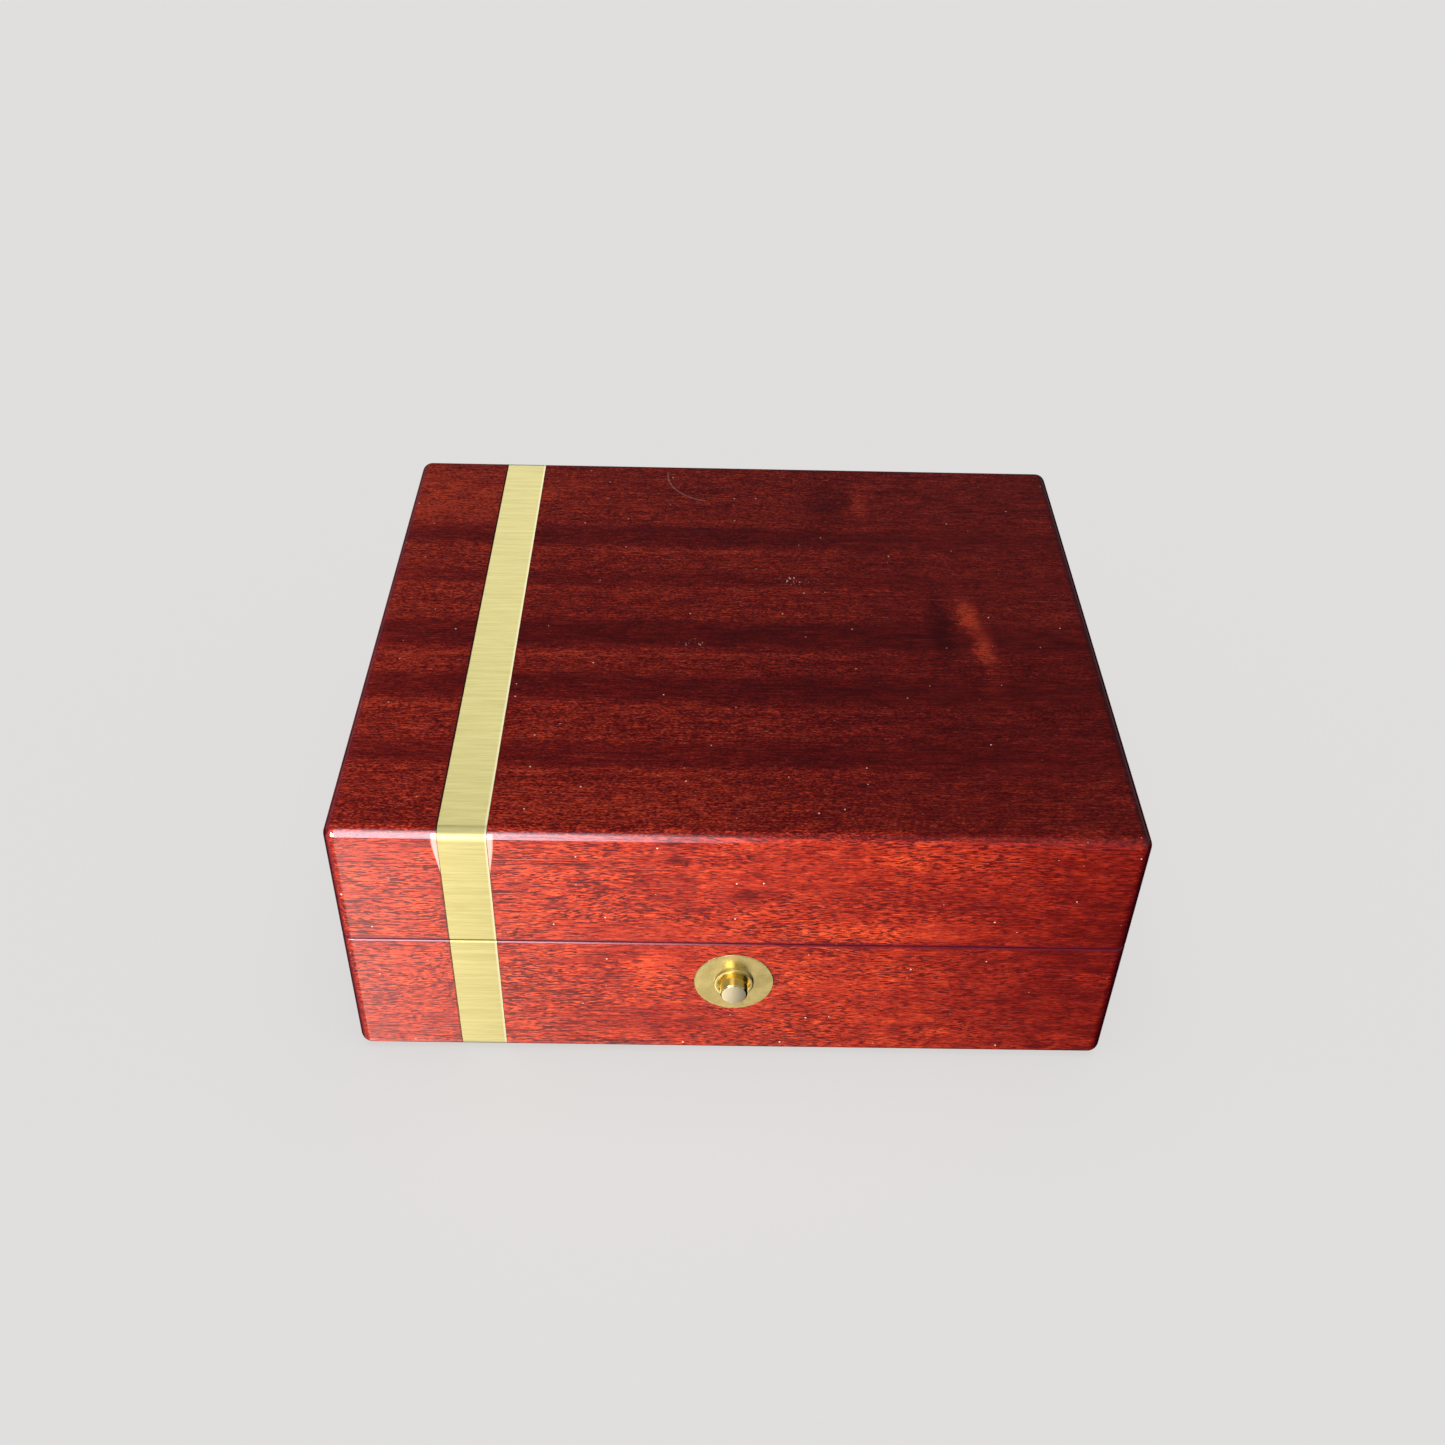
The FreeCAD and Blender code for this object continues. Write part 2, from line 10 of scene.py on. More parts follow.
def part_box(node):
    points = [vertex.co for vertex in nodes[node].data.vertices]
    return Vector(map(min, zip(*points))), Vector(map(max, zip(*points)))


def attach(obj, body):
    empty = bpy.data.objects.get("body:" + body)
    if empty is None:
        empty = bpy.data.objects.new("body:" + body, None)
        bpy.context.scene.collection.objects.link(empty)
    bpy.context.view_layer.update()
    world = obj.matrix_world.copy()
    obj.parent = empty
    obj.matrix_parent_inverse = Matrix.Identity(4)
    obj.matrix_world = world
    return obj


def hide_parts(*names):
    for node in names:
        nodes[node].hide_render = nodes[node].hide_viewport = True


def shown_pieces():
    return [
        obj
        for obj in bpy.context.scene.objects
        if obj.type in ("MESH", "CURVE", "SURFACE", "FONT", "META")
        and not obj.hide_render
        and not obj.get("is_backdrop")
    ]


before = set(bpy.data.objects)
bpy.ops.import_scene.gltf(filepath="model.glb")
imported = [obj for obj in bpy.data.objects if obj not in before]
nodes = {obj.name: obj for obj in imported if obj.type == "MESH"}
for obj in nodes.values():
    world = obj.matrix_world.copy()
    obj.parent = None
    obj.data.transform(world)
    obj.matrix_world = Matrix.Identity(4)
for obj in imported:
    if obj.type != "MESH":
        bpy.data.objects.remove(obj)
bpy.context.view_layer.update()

mm = 0.001

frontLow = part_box("lid_front_board")[0]
seamTop = frontLow.z
boxBack = -frontLow.y
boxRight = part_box("lid_right_board")[1].x
bandLow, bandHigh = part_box("lid_band")
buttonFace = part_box("push_button")[0].y
print("stage: frame loaded,", len(nodes), "CAD nodes")


def plug(tree, socket, value):
    if isinstance(value, bpy.types.NodeSocket):
        tree.links.new(value, socket)
    else:
        socket.default_value = value


def addNode(tree, kind, inputs=None, **settings):
    made = tree.nodes.new(kind)
    for key, value in settings.items():
        setattr(made, key, value)
    for key, value in (inputs or {}).items():
        plug(tree, made.inputs[key], value)
    return made


def calc(tree, operation, *values, clamp=False):
    made = addNode(tree, "ShaderNodeMath", operation=operation, use_clamp=clamp)
    for socket, value in zip(made.inputs, values):
        plug(tree, socket, value)
    return made.outputs[0]


def plus(tree, first, second):
    return calc(tree, "ADD", first, second)


def minus(tree, first, second):
    return calc(tree, "SUBTRACT", first, second)


def times(tree, first, second):
    return calc(tree, "MULTIPLY", first, second)


def absolute(tree, value):
    return calc(tree, "ABSOLUTE", value)


def blendColor(tree, share, first, second, blend="MIX"):
    made = addNode(tree, "ShaderNodeMix", data_type="RGBA", blend_type=blend)
    plug(tree, made.inputs[0], share)
    plug(tree, made.inputs[6], first)
    plug(tree, made.inputs[7], second)
    return made.outputs[2]


def tinted(tree, color, strength):
    return addNode(tree, "ShaderNodeVectorMath", {0: color, "Scale": strength}, operation="SCALE").outputs[0]


def noiseAt(tree, vector, scale, detail=2.0, roughness=0.5, distortion=0.0):
    made = addNode(tree, "ShaderNodeTexNoise", {
        "Vector": vector, "Scale": scale, "Detail": detail, "Roughness": roughness, "Distortion": distortion})
    return made.outputs["Fac"]


def stretched(tree, vector, scale, shift=(0, 0, 0), turn=(0, 0, 0)):
    made = addNode(tree, "ShaderNodeMapping", {
        "Vector": vector, "Scale": scale, "Location": shift, "Rotation": turn})
    return made.outputs[0]


def ramped(tree, value, low, high, lowOut=0.0, highOut=1.0, soft=True):
    made = addNode(tree, "ShaderNodeMapRange", {
        "Value": value, "From Min": low, "From Max": high, "To Min": lowOut, "To Max": highOut},
        interpolation_type="SMOOTHSTEP" if soft else "LINEAR")
    return made.outputs[0]


def colorStops(tree, value, stops):
    made = addNode(tree, "ShaderNodeValToRGB", {"Fac": value})
    ramp = made.color_ramp
    while len(ramp.elements) < len(stops):
        ramp.elements.new(0.5)
    for element, (place, color) in zip(ramp.elements, stops):
        element.position = place
        element.color = (*color, 1)
    return made.outputs[0]


def bumped(tree, height, strength, distance, normal=None):
    inputs = {"Height": height, "Strength": strength, "Distance": distance}
    if normal is not None:
        inputs["Normal"] = normal
    return addNode(tree, "ShaderNodeBump", inputs).outputs[0]


def newMaterial(name, shaderValues):
    material = bpy.data.materials.new(name)
    material.use_nodes = True
    tree = material.node_tree
    shader = tree.nodes["Principled BSDF"]
    for key, value in shaderValues.items():
        shader.inputs[key].default_value = value
    return material, tree, shader


def inMillimetres(tree, turn=0.0, shift=(0, 0, 0)):
    # pattern space: millimetres, turned about Z so that the grain runs along its X
    place = addNode(tree, "ShaderNodeTexCoord").outputs["Object"]
    return stretched(tree, place, (1000, 1000, 1000), shift, (0, 0, turn))


def split(tree, vector):
    made = addNode(tree, "ShaderNodeSeparateXYZ", {"Vector": vector})
    return made.outputs[0], made.outputs[1], made.outputs[2]


def spotMask(tree, x, y, centre, size, soft=0.6):
    # 1 inside an ellipse, fading to 0 at its edge
    dx = calc(tree, "DIVIDE", minus(tree, x, centre[0]), size[0])
    dy = calc(tree, "DIVIDE", minus(tree, y, centre[1]), size[1])
    far = calc(tree, "SQRT", plus(tree, times(tree, dx, dx), times(tree, dy, dy)))
    return ramped(tree, far, 1.0 - soft, 1.0, 1.0, 0.0)


cameraSettings = {
    "place": (-10.1 * mm, -356.3 * mm, 343.8 * mm),
    "lens": 39.26, "sensor": 36.0, "near": 0.01, "far": 50,
    "turn": 1.108, "down": 39.974, "roll": 1.656,      # degrees
}


def makeCamera(s):
    turn, down, roll = (math.radians(s[key]) for key in ("turn", "down", "roll"))
    ahead = Vector((math.sin(turn) * math.cos(down), math.cos(turn) * math.cos(down), -math.sin(down)))
    right = ahead.cross(Vector((0, 0, 1))).normalized()
    up = right.cross(ahead)
    rolledRight = right * math.cos(roll) + up * math.sin(roll)
    rolledUp = up * math.cos(roll) - right * math.sin(roll)
    data = bpy.data.cameras.new("camera")
    data.lens, data.sensor_width = s["lens"], s["sensor"]
    data.clip_start, data.clip_end = s["near"], s["far"]
    camera = bpy.data.objects.new("camera", data)
    axes = Matrix((rolledRight, rolledUp, -ahead)).transposed()
    camera.matrix_world = Matrix.Translation(s["place"]) @ axes.to_4x4()
    bpy.context.scene.collection.objects.link(camera)
    bpy.context.scene.camera = camera


floorSettings = {"size": 30.0, "paper": 0.13, "glow": (0.632, 0.624, 0.611)}


def makeFloor(s):
    half = s["size"] / 2
    mesh = bpy.data.meshes.new("studioFloor")
    ground = [(-half, -half, 0), (half, -half, 0), (half, half, 0), (-half, half, 0)]
    mesh.from_pydata(ground, [], [(0, 1, 2, 3)])
    floor = bpy.data.objects.new("studioFloor", mesh)
    bpy.context.scene.collection.objects.link(floor)
    material, tree, shader = newMaterial("palePaper", {
        "Base Color": (s["paper"], s["paper"], s["paper"], 1), "Roughness": 0.9, "Specular IOR Level": 0.0,
        "Emission Color": (*s["glow"], 1), "Emission Strength": 1.0})
    mesh.materials.append(material)
    floor.visible_glossy = False
    floor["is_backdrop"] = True
    return floor


lightSettings = {
    "floorLight": {"power": 1.95, "spread": 60},
    "overhead": {"place": (-0.38, 0.02, 0.82), "aim": (0, 0, 0.06), "size": 0.55, "power": 4.0,
                 "color": (1.0, 0.98, 0.96), "mirrored": False},
    "key": {"place": (-0.33, -0.46, 0.17), "aim": (-0.06, -0.06, 0.05), "size": 0.22, "power": 10.4,
            "color": (1.0, 0.955, 0.87)},
    "brassKey": {"place": (-0.33, -0.46, 0.17), "aim": (-0.06, -0.06, 0.05), "size": 0.22, "power": 5.2,
                 "color": (1.0, 0.97, 0.92)},
    "buttonKey": {"place": (-0.33, -0.40, 0.40), "aim": (0, -0.09, 0.03), "size": 0.30, "power": 1.5,
                  "color": (1.0, 0.98, 0.90)},
    "brassLight": {"place": (-0.10, 0.90, 0.74), "aim": (-0.06, 0, 0.08), "size": 0.90, "power": 4.3,
                   "color": (1.0, 0.98, 0.93)},
    "brassTop": {"place": (-0.10, -0.10, 0.95), "aim": (-0.06, -0.05, 0.08), "size": 0.70, "power": 1.6,
                 "color": (1.0, 0.99, 0.94)},
}


def aimedAt(place, target):
    return (Vector(target) - Vector(place)).to_track_quat("-Z", "Y")


def sunLight(name, s):
    data = bpy.data.lights.new(name, "SUN")
    data.energy = s["power"]
    data.angle = math.radians(s["spread"])
    lamp = bpy.data.objects.new(name, data)
    bpy.context.scene.collection.objects.link(lamp)
    return lamp


def softbox(name, s):
    data = bpy.data.lights.new(name, "AREA")
    data.shape = "SQUARE"
    data.size = s["size"]
    data.energy = s["power"]
    data.color = s["color"]
    lamp = bpy.data.objects.new(name, data)
    lamp.location = s["place"]
    lamp.rotation_mode = "QUATERNION"
    lamp.rotation_quaternion = aimedAt(s["place"], s["aim"])
    lamp.visible_camera = False
    lamp.visible_glossy = s.get("mirrored", True)
    bpy.context.scene.collection.objects.link(lamp)
    return lamp


def linkLight(lamp, name, objects):
    # the light reaches only these objects
    group = bpy.data.collections.new(name)
    for one in objects:
        group.objects.link(one)
    lamp.light_linking.receiver_collection = group


# Ranges are along the unit direction that is looked in.
roomSettings = {
    "backdrop": (0.745, 0.737, 0.722), "horizon": (0.0, -0.10),
    "paperMiddle": 0.62, "paperSlope": 8.0, "paperMost": 3.6,   # paper in front, brighter to the left
    "paperLeft": (-0.44, -0.28, 0.14, 1.0), "paperFront": (0.10, -0.30, 0.08, 1.0),
    "paperTint": (1.0, 0.93, 0.86),
    "room": 0.38, "darkRoom": 0.085,                # dark where the top's lacquer mirrors it
    "darkAxis": (0.766, 0.643), "darkRange": (0.45, 0.80), "roomTint": (0.92, 0.95, 1.12),
    "window": 22.0, "dullWindow": 0.06,             # on the left in front, and its share in duller metal
    "windowX": ((0.08, -0.18), (-0.42, -0.30)), "windowY": (-0.02, -0.22), "windowZ": (0.98, 0.72),
    "windowTint": (1.0, 0.88, 1.0),
}


def makeWorld(s):
    world = bpy.data.worlds.new("studio")
    bpy.context.scene.world = world
    world.use_nodes = True
    tree = world.node_tree
    tree.nodes.clear()
    direction = addNode(tree, "ShaderNodeTexCoord").outputs["Generated"]
    x, y, z = split(tree, direction)
    slope = calc(tree, "POWER", math.e, times(tree, x, -s["paperSlope"]))
    paper = calc(tree, "MINIMUM", times(tree, slope, s["paperMiddle"]), s["paperMost"])
    paper = times(tree, paper, ramped(tree, x, *s["paperLeft"]))
    paper = times(tree, paper, ramped(tree, y, *s["paperFront"]))
    below = ramped(tree, z, *s["horizon"])
    behind = plus(tree, times(tree, y, s["darkAxis"][0]), times(tree, z, s["darkAxis"][1]))
    room = ramped(tree, behind, *s["darkRange"], s["room"], s["darkRoom"])
    right, left = s["windowX"]
    window = times(tree, ramped(tree, x, *right), ramped(tree, x, *left))
    window = times(tree, window, ramped(tree, y, *s["windowY"]))
    window = times(tree, window, ramped(tree, z, *s["windowZ"]))
    path = addNode(tree, "ShaderNodeLightPath")
    sharp = times(tree, path.outputs["Is Singular Ray"], 1 - s["dullWindow"])
    dull = times(tree, path.outputs["Is Glossy Ray"], s["dullWindow"])
    window = times(tree, window, calc(tree, "ADD", sharp, dull, clamp=True))
    glow = tinted(tree, s["paperTint"], paper)
    pane = tinted(tree, s["windowTint"], times(tree, window, s["window"]))
    sky = addNode(tree, "ShaderNodeVectorMath", {
        0: tinted(tree, s["roomTint"], room), 1: pane}, operation="ADD")
    color = blendColor(tree, below, sky.outputs[0], glow)
    color = blendColor(tree, path.outputs["Is Camera Ray"], color, (*s["backdrop"], 1))
    background = addNode(tree, "ShaderNodeBackground", {"Color": color, "Strength": 1.0})
    output = addNode(tree, "ShaderNodeOutputWorld")
    tree.links.new(background.outputs[0], output.inputs[0])


# Bands are (place, half width, depth) across the grain, in mm.
# Patches are (x, across, half x, half across, tone).
topPanelLook = {
    "turn": 0.0, "shift": (0, 0, 0), "across": "y", "tone": 0.0,
    "stops": [(0.0, (0.028, 0.0010, 0.0012)), (0.25, (0.052, 0.0020, 0.0018)), (0.5, (0.094, 0.0052, 0.0034)),
              (0.75, (0.160, 0.0122, 0.0066)), (1.0, (0.29, 0.030, 0.011))],
    "layers": [((1.15, 3.4), 1.15), ((0.42, 1.7), 0.55), ((0.12, 0.36), 0.28), ((0.03, 0.11), 0.20)],
    "lines": ((0.05, 2.9), 1.05),
    "bands": [(43.6, 4.8, 0.20), (21.4, 3.2, 0.13), (-5.4, 6.0, 0.25), (-29.3, 5.4, 0.22),
              (-55.4, 4.8, 0.17)],
    "fade": (8, 64, 0.30), "ragged": 4.5, "end": boxRight / mm,
    # painted light: the broad patch at (-110, 0) lightens the top towards the left and the one at (60, -34)
    # darkens it towards the right, as the light falls off
    "patches": [(65.6, 5, 4.8, 12, 0.56), (68.4, -9, 4.6, 14, 0.52), (69, -26, 5, 14, 0.14),
                (57.4, 0, 5.0, 20, -0.30), (28, 63, 9, 16, -0.24), (38.8, 64, 3.4, 14, 0.26),
                (-40, -75, 60, 12, 0.16), (-62, -50, 44, 7, 0.10), (-100, 66, 90, 30, 0.26),
                (-110, 0, 60, 120, 0.14), (60, -34, 90, 62, -0.12)],
    "pores": {"scale": (0.62, 3.2), "cut": (0.55, 0.64), "depth": 0.50, "color": (0.030, 0.0010, 0.0013)},
    "threads": {"scale": (0.045, 2.3), "cut": (0.55, 0.70), "lift": 0.22, "until": (60, -60)},
    "filler": 0.85, "scuffed": True, "paleWedges": False,
}
# The front's stops and tone are paler than the top's: partly painted light, the same wood lit more strongly
# on the front.
frontBoardLook = {
    "turn": 0.0, "shift": (340, 120, 20), "across": "z", "tone": 0.06,
    "stops": [(0.0, (0.045, 0.0014, 0.0013)), (0.25, (0.10, 0.0044, 0.0028)), (0.5, (0.182, 0.0112, 0.0050)),
              (0.75, (0.27, 0.024, 0.0085)), (1.0, (0.42, 0.046, 0.013))],
    "layers": [((0.60, 3.8), 0.56), ((0.36, 1.5), 0.40), ((0.12, 0.34), 0.36), ((0.03, 0.08), 0.30)],
    "lines": ((0.07, 3.8), 0.95),
    "bands": [], "fade": (20, 90, 0.2), "ragged": 6.0, "end": boxRight / mm,
    # painted light: the broad patch at (-60, 40) lightens the front towards the left and the one at (100, 40)
    # darkens it towards the right, as the light falls off
    "patches": [(-17, 60.5, 13, 8, -0.12), (4, 61.7, 11, 4.5, -0.26), (40, 61, 34, 8, -0.14),
                (-15, 73.6, 3.6, 2.8, -0.42), (-30, 72.3, 2.4, 1.5, -0.42), (-12.5, 66.7, 4.0, 1.3, -0.34),
                (-59.3, 59.9, 1.9, 1.0, -0.50), (-11, 56, 6, 2.0, -0.30), (36, 48.6, 46, 5.0, 0.26),
                (49, 75, 30, 6, 0.14), (-20, 31, 8, 13, 0.26), (-35, 34, 9, 8, -0.16),
                (-43.5, 23.5, 4.0, 2.6, -0.30), (17, 30, 9, 10, 0.16), (-31, 14, 18, 8, -0.14),
                (-8.5, 13, 20, 8, -0.12), (54.5, 10.5, 6, 3, 0.30), (100, 40, 74, 90, -0.35),
                (-60, 40, 90, 90, 0.12)],
    "pores": {"scale": (0.46, 3.8), "cut": (0.545, 0.59), "depth": 0.92, "color": (0.045, 0.0014, 0.0022)},
    "threads": {"scale": (0.055, 3.0), "cut": (0.565, 0.60), "lift": -1.05, "until": (0, -60)},
    "filler": 0.50, "scuffed": False, "paleWedges": True,
}
sideBoardLook = {**frontBoardLook, "turn": math.pi / 2, "shift": (90, 500, 60), "patches": [],
                 "end": boxBack / mm, "paleWedges": False}
panelLook = {**frontBoardLook, "shift": (20, 40, 600), "across": "y", "patches": [], "filler": 0.85,
             "paleWedges": False}

# What every board has in common. Lengths are in mm, and shares of a band's half width where it says half.
figureLook = {
    "warpScale": (0.014, 0.05, 0.05), "sway": 10.0,
    "calmHalf": (0.6, 1.5), "calmDepth": 2.2, "calmFrom": 0.3,     # layers finer than this are calmed
    "darkHalf": (0.5, 1.4), "paleHalf": 1.6, "paleEdge": (0.2, 2.2), "paleDepth": 0.55,
    "patchSoft": 0.9, "threadShift": (7, 90, 90), "poreShift": (31, 7, 7), "poreDrift": 0.45,
}


def swung(tree, noise, amount):
    return times(tree, minus(tree, noise, 0.5), amount)


def grainNoise(tree, wavy, scale, detail, roughness, distortion=0.0, shift=(0, 0, 0)):
    along, over = scale
    grain = stretched(tree, wavy, (along, over, over), shift)
    return noiseAt(tree, grain, 1.0, detail, roughness, distortion)


def woodFigure(tree, x, across, wavy, warp, s, f):
    # the tone from dark to light, its fine lines, and the layers that it is made of
    near, far, least = s["fade"]
    fade = ramped(tree, x, near, far, 1.0, least)
    calm = ramped(tree, x, near, far, 1.0, 0.5 + least / 2)
    bands = []
    for place, half, depth in s["bands"]:
        past = minus(tree, plus(tree, across, times(tree, warp, 0.5)), place)
        bands.append((past, half, depth))
        inner, outer = (half * share for share in f["calmHalf"])
        within = ramped(tree, absolute(tree, past), inner, outer, 1.0 - depth * f["calmDepth"], 1.0)
        calm = times(tree, calm, within)

    tone = 0.5 + s["tone"]
    layers = []
    for scale, amount in s["layers"]:
        layer = grainNoise(tree, wavy, scale, 2.0, 0.55, 0.4)
        layers.append(layer)
        share = calm if scale[0] > f["calmFrom"] else 1.0
        tone = plus(tree, tone, times(tree, swung(tree, layer, amount * 2), share))
    scale, amount = s["lines"]
    lines = grainNoise(tree, wavy, scale, 3.0, 0.6)
    tone = plus(tree, tone, swung(tree, lines, amount))

    for past, half, depth in bands:
        inner, outer = (half * share for share in f["darkHalf"])
        dark = ramped(tree, absolute(tree, past), inner, outer, depth, 0.0)
        edge = absolute(tree, plus(tree, past, half * f["paleHalf"]))
        pale = ramped(tree, edge, *f["paleEdge"], depth * f["paleDepth"], 0.0)
        tone = minus(tree, tone, times(tree, minus(tree, dark, pale), fade))

    ragged = plus(tree, x, swung(tree, layers[2], s["ragged"]))
    ragged = plus(tree, ragged, swung(tree, layers[0], s["ragged"]))
    for middleX, middleAcross, halfX, halfAcross, amount in s["patches"]:
        spot = spotMask(tree, ragged, across, (middleX, middleAcross), (halfX, halfAcross), f["patchSoft"])
        tone = plus(tree, tone, times(tree, spot, amount))

    long = s["threads"]                     # long fine threads along the grain, towards the left
    hair = grainNoise(tree, wavy, long["scale"], 2.0, 0.5, 0.0, f["threadShift"])
    hair = ramped(tree, hair, *long["cut"], 0.0, long["lift"])
    tone = plus(tree, tone, times(tree, hair, ramped(tree, x, *long["until"])))
    return tone, lines, layers


def openPores(tree, wavy, drift, s, f):
    # short dark dashes along the grain, in drifts
    dashes = grainNoise(tree, wavy, s["pores"]["scale"], 1.0, 0.4, 0.0, f["poreShift"])
    dashes = plus(tree, dashes, swung(tree, drift, f["poreDrift"]))
    return ramped(tree, dashes, *s["pores"]["cut"])


# painted shade on the rounded edges across the grain
edgeShadeLook = {"starts": 3.2, "full": 0.8, "share": 0.82, "color": (0.030, 0.0012, 0.0050)}


def shadeRoundedEnds(tree, color, x, end, s):
    # painted shade: the rounded edges across the grain are darkened where their lacquer mirrors dark
    # surroundings
    edge = ramped(tree, absolute(tree, x), end - s["starts"], end - s["full"], 0.0, s["share"])
    return blendColor(tree, edge, color, (*s["color"], 1))


dustLook = {"spacing": 6.5, "chosen": 0.80, "size": (0.008, 0.034), "share": (0.10, 0.75),
            "color": (0.60, 0.47, 0.43)}


def addDust(tree, color, x, across, s):
    # specks caught in the lacquer
    flat = addNode(tree, "ShaderNodeCombineXYZ", {"X": x, "Y": across, "Z": 0.0}).outputs[0]
    dust = addNode(tree, "ShaderNodeTexVoronoi", {"Vector": flat, "Scale": 1 / s["spacing"]},
                   voronoi_dimensions="2D")
    chosen = split(tree, dust.outputs["Color"])[0]
    size = ramped(tree, chosen, s["chosen"], 1.0, *s["size"])
    speck = calc(tree, "LESS_THAN", dust.outputs["Distance"], size)
    speck = times(tree, speck, ramped(tree, chosen, s["chosen"], 1.0, *s["share"]))
    return blendColor(tree, speck, color, (*s["color"], 1))


scuffLook = {
    "arcMiddle": (-6.0, 79.0), "arcRadius": 15.3, "arcLine": (0.05, 0.35, 0.16, 0.0),
    "arcX": (-7.5, -10.5), "arcAcross": (81.0, 79.0),
    "scuffs": [((-13.0, -9.8), (5.6, 3.4)), ((17.5, 21.8), (8.0, 3.4))], "soft": 0.8,
    "rubScale": (1.9, 0.8, 1.0), "rubTurn": 0.5, "rubCut": (0.635, 0.69, 0.0, 0.85),
    "color": (0.56, 0.40, 0.36),
}


def addScuffs(tree, color, x, across, grain, s):
    # an arc of a scratch by the back edge, and two scuffs
    dx, dy = minus(tree, x, s["arcMiddle"][0]), minus(tree, across, s["arcMiddle"][1])
    far = calc(tree, "SQRT", plus(tree, times(tree, dx, dx), times(tree, dy, dy)))
    arc = ramped(tree, absolute(tree, minus(tree, far, s["arcRadius"])), *s["arcLine"])
    arc = times(tree, arc, times(tree, ramped(tree, x, *s["arcX"]), ramped(tree, across, *s["arcAcross"])))
    rub = noiseAt(tree, stretched(tree, grain, s["rubScale"], (0, 0, 0), (0, 0, s["rubTurn"])), 1.0, 2.0, 0.6)
    first, second = (spotMask(tree, x, across, middle, half, s["soft"]) for middle, half in s["scuffs"])
    scuffs = times(tree, calc(tree, "MAXIMUM", first, second), ramped(tree, rub, *s["rubCut"]))
    return blendColor(tree, calc(tree, "MAXIMUM", arc, scuffs), color, (*s["color"], 1))


# painted shade in the gap beside the band's left edge
fillerLook = {"inside": 0.22, "line": (0.16, 0.34), "color": (0.012, 0.004, 0.003)}


def paintBandGapShade(tree, color, x, share, s):
    # painted shade in the gap along the band's left edge
    off = absolute(tree, minus(tree, x, bandLow.x / mm - s["inside"]))
    return blendColor(tree, ramped(tree, off, *s["line"], share, 0.0), color, (*s["color"], 1))


# painted shade along the seam between lid and base
seamShadeLook = {"line": (0.45, 1.05), "share": 0.80, "color": (0.060, 0.003, 0.010)}


def paintSeamShade(tree, color, z, s):
    # painted shade along the seam, in the gap where the lid meets the base
    off = absolute(tree, minus(tree, z, seamTop / mm))
    return blendColor(tree, ramped(tree, off, *s["line"], s["share"], 0.0), color, (*s["color"], 1))


paleWedgeLook = {"height": (66.0, 79.0), "width": (0.1, 1.75), "edge": (0.65, 1.0), "share": 0.85,
              "foot": (66.5, 70.0), "color": (0.42, 0.22, 0.19)}


def addPaleWedges(tree, color, x, z, s):
    # pale wedges beside the band, under the top edge
    middle = (bandLow.x + bandHigh.x) / 2 / mm
    half = (bandHigh.x - bandLow.x) / 2 / mm
    beside = minus(tree, absolute(tree, minus(tree, x, middle)), half)
    reach = ramped(tree, z, *s["height"], *s["width"])
    paleWedges = ramped(tree, calc(tree, "DIVIDE", beside, reach), *s["edge"], s["share"], 0.0)
    paleWedges = times(tree, paleWedges, ramped(tree, z, *s["foot"]))
    return blendColor(tree, paleWedges, color, (*s["color"], 1))


lacquerLook = {"ior": 1.4, "relief": 0.15, "reliefDepth": 0.1 * mm,
               "peelScale": 0.30, "peel": 0.03, "peelDepth": 0.4 * mm}


def mahogany(name, s):
    material, tree, shader = newMaterial(name, {
        "Roughness": 0.5, "Specular IOR Level": 0.0, "Coat Weight": 1.0, "Coat Roughness": 0.0,
        "Coat IOR": lacquerLook["ior"]})
    space = inMillimetres(tree, s["turn"])
    x, y, z = split(tree, space)
    across = y if s["across"] == "y" else z
    grain = stretched(tree, space, (1, 1, 1), s["shift"])
    warp = noiseAt(tree, stretched(tree, grain, figureLook["warpScale"]), 1.0, 2.0)
    warp = swung(tree, warp, figureLook["sway"])
    bend = addNode(tree, "ShaderNodeCombineXYZ", {"X": 0.0, "Y": warp, "Z": warp}).outputs[0]
    wavy = addNode(tree, "ShaderNodeVectorMath", {0: grain, 1: bend}, operation="ADD").outputs[0]

    tone, lines, layers = woodFigure(tree, x, across, wavy, warp, s, figureLook)
    pores = openPores(tree, wavy, layers[3], s, figureLook)
    color = colorStops(tree, tone, s["stops"])
    color = blendColor(tree, times(tree, pores, s["pores"]["depth"]), color, (*s["pores"]["color"], 1))
    color = shadeRoundedEnds(tree, color, x, s["end"], edgeShadeLook)
    color = addDust(tree, color, x, across, dustLook)
    if s["scuffed"]:
        color = addScuffs(tree, color, x, across, grain, scuffLook)
    # painted shade beside the band
    if s["turn"] == 0.0:
        color = paintBandGapShade(tree, color, x, s["filler"], fillerLook)
    if s["across"] == "z":
        color = paintSeamShade(tree, color, z, seamShadeLook)
    if s["paleWedges"]:
        color = addPaleWedges(tree, color, x, z, paleWedgeLook)
    tree.links.new(color, shader.inputs["Base Color"])

    relief = bumped(tree, minus(tree, lines, pores), lacquerLook["relief"], lacquerLook["reliefDepth"])
    tree.links.new(relief, shader.inputs["Normal"])
    peel = noiseAt(tree, grain, lacquerLook["peelScale"], 2.0)
    peel = bumped(tree, peel, lacquerLook["peel"], lacquerLook["peelDepth"])
    tree.links.new(peel, shader.inputs["Coat Normal"])
    return material


# the paler colour along the band's right edge is a painted highlight
bandLook = {"pale": (0.58, 0.53, 0.235), "deep": (0.46, 0.41, 0.165), "rim": (0.70, 0.66, 0.42),
            "roughness": 0.40, "coat": 0.15, "coatRoughness": 0.12,
            "brush": (0.12, 4.4, 4.4), "streaks": (0.03, 0.7, 0.7), "brushShare": 0.62,
            "rimWidth": (0.25, 0.7), "rimShare": 0.85}


